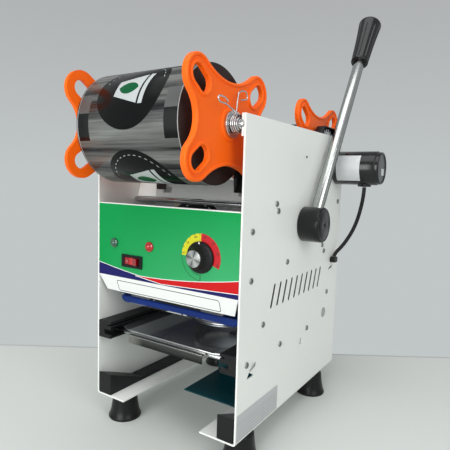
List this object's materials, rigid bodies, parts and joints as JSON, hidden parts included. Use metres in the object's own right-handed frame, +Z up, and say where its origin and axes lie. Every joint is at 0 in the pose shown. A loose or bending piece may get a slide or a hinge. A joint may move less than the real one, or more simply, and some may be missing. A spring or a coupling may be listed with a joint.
{
  "type": "cup sealing machine",
  "caption": "Counter-top cup sealer with a side lever, sliding cup tray, green control panel and a film roll between orange star plates.",
  "frame": {"origin": "bottom centre of the bounding box, on the plane that the four feet stand on", "axes": "+X to the machine's right seen from the front, where the lever is, +Y to its back, +Z up"},
  "size_m": [0.3274, 0.5109, 0.6702],
  "materials": {
    "white_paint": "smooth powder coat",
    "green_print": "printed film on sheet",
    "black_paint": "satin",
    "black_plastic": "satin moulded",
    "black_rubber": "matte",
    "chrome": "plated",
    "steel": "machined",
    "dark_mirror": "polished stainless sheet",
    "aluminium": "machined",
    "brass": "turned",
    "orange_plastic": "moulded",
    "film_black": "wound printed film",
    "blue_film": "protective film on sheet",
    "teal_film": "protective film on sheet",
    "lamp_green": "clear tinted",
    "lamp_red": "clear tinted"
  },
  "bodies": {
    "frame": {"side_panel_left": "white_paint", "side_panel_right": "white_paint", "front_panel": "green_print", "inner_deck": "white_paint", "guide_rod": "chrome", "film_guide_plate": "blue_film", "rear_cover": "white_paint", "power_inlet": "black_plastic", "lower_shelf": "teal_film", "foot_front_left": "black_rubber", "foot_front_right": "black_rubber", "foot_rear_left": "black_rubber", "foot_rear_right": "black_rubber", "column_bridge": "steel", "guide_column_left": "chrome", "guide_column_right": "chrome", "return_spring_left": "steel", "return_spring_right": "steel", "tray_rail_left": "black_paint", "tray_rail_right": "black_paint", "ramp_rail_left": "black_paint", "ramp_rail_right": "black_paint", "shaft_bush_left": "brass", "shaft_bush_right": "brass", "shaft_bracket_left": "white_paint", "shaft_bracket_right": "white_paint", "rewind_motor": "black_plastic", "drive_cover": "black_plastic", "motor_cable": "black_rubber", "cable_clip": "black_plastic", "rocker_bezel": "black_plastic", "lamp_green": "lamp_green", "lamp_red": "lamp_red"},
    "lever": {"press_shaft": "steel", "lever_hub": "black_plastic", "lever_rod": "chrome", "lever_grip": "black_plastic", "press_pinion": "steel"},
    "head": {"head_rack": "steel", "head_carriage": "aluminium", "heater_block": "aluminium", "cutter_ring": "steel"},
    "tray": {"tray_plate": "dark_mirror", "tray_handle": "aluminium", "tray_axle_front": "chrome", "tray_axle_rear": "chrome", "cup_ring": "aluminium"},
    "supply_reel": {"supply_shaft": "chrome", "film_roll": "film_black", "supply_star_left": "orange_plastic", "supply_star_right": "orange_plastic", "shaft_collar": "chrome", "spring_clip": "chrome"},
    "rewind_reel": {"rewind_shaft": "steel", "rewind_roll": "film_black", "rewind_star_left": "orange_plastic", "rewind_star_right": "orange_plastic"},
    "motor_rotor": {"motor_pinion": "steel"},
    "knob": {"thermostat_knob": "black_plastic"},
    "rocker": {"power_rocker": "lamp_red"}
  },
  "joints": [
    {"name": "lever_pull", "type": "hinge", "parent": "frame", "child": "lever", "pos_m": [-0.03865, 0.0114, 0.3053], "axis": [1, 0, 0], "range_deg": [0, 95]},
    {"name": "head_press", "type": "slide", "parent": "frame", "child": "head", "axis": [0, 0, -1], "range_m": [0, 0.0498], "deforming": ["return_spring_left", "return_spring_right"]},
    {"name": "tray_slide", "type": "slide", "parent": "frame", "child": "tray", "axis": [0, -1, 0], "range_m": [0, 0.215]},
    {"name": "supply_spin", "type": "hinge", "parent": "frame", "child": "supply_reel", "pos_m": [-0.03865, -0.1686, 0.4333], "axis": [1, 0, 0], "continuous": true},
    {"name": "rewind_spin", "type": "hinge", "parent": "frame", "child": "rewind_reel", "pos_m": [-0.03865, 0.1074, 0.4293], "axis": [1, 0, 0], "continuous": true},
    {"name": "rotor_spin", "type": "hinge", "parent": "frame", "child": "motor_rotor", "pos_m": [-0.03865, 0.1434, 0.3943], "axis": [1, 0, 0], "continuous": true},
    {"name": "knob_turn", "type": "hinge", "parent": "frame", "child": "knob", "pos_m": [0.02635, -0.1696, 0.2693], "axis": [0, -1, 0], "range_deg": [-135, 135]},
    {"name": "rocker_tip", "type": "hinge", "parent": "frame", "child": "rocker", "pos_m": [-0.09265, -0.1646, 0.2493], "axis": [0, 0, 1], "range_deg": [0, 16]}
  ],
  "couplings": [
    {"joint": "head_press", "follows": "lever_pull", "m_per_rad": 0.03},
    {"joint": "rotor_spin", "follows": "rewind_spin", "ratio": -1.1111}
  ]
}
